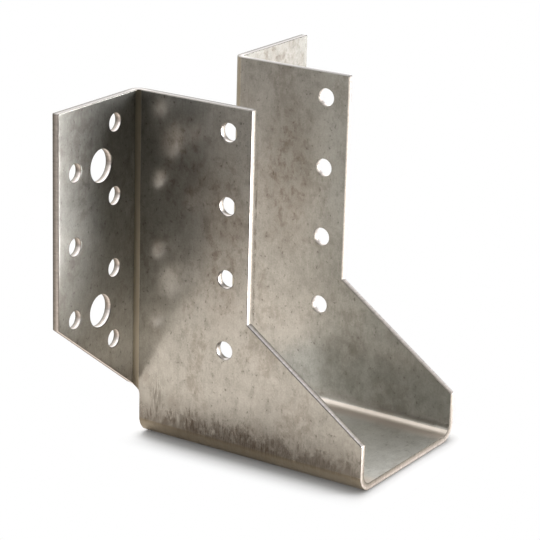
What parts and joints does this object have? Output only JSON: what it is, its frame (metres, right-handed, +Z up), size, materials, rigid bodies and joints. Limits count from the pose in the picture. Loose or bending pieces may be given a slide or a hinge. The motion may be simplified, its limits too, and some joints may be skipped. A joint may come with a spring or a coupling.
{
  "type": "joist hanger",
  "caption": "Folded steel joist hanger: a seat between two cheeks with sloping fronts, and an outward flange on each cheek with nail holes and larger bolt holes.",
  "frame": {"origin": "underside of the seat, midway between the cheeks and midway along the seat's depth", "axes": "+X across the joist to the right seen from the joist's side, +Y into the header, +Z up; the joist leaves towards -Y"},
  "size_m": [0.1174, 0.0746, 0.0975],
  "materials": {
    "galvanised_sheet": "zinc-coated sheet, satin with a faint mottled bloom and handling smudges"
  },
  "bodies": {
    "root": {"hanger": "galvanised_sheet"}
  },
  "joints": []
}
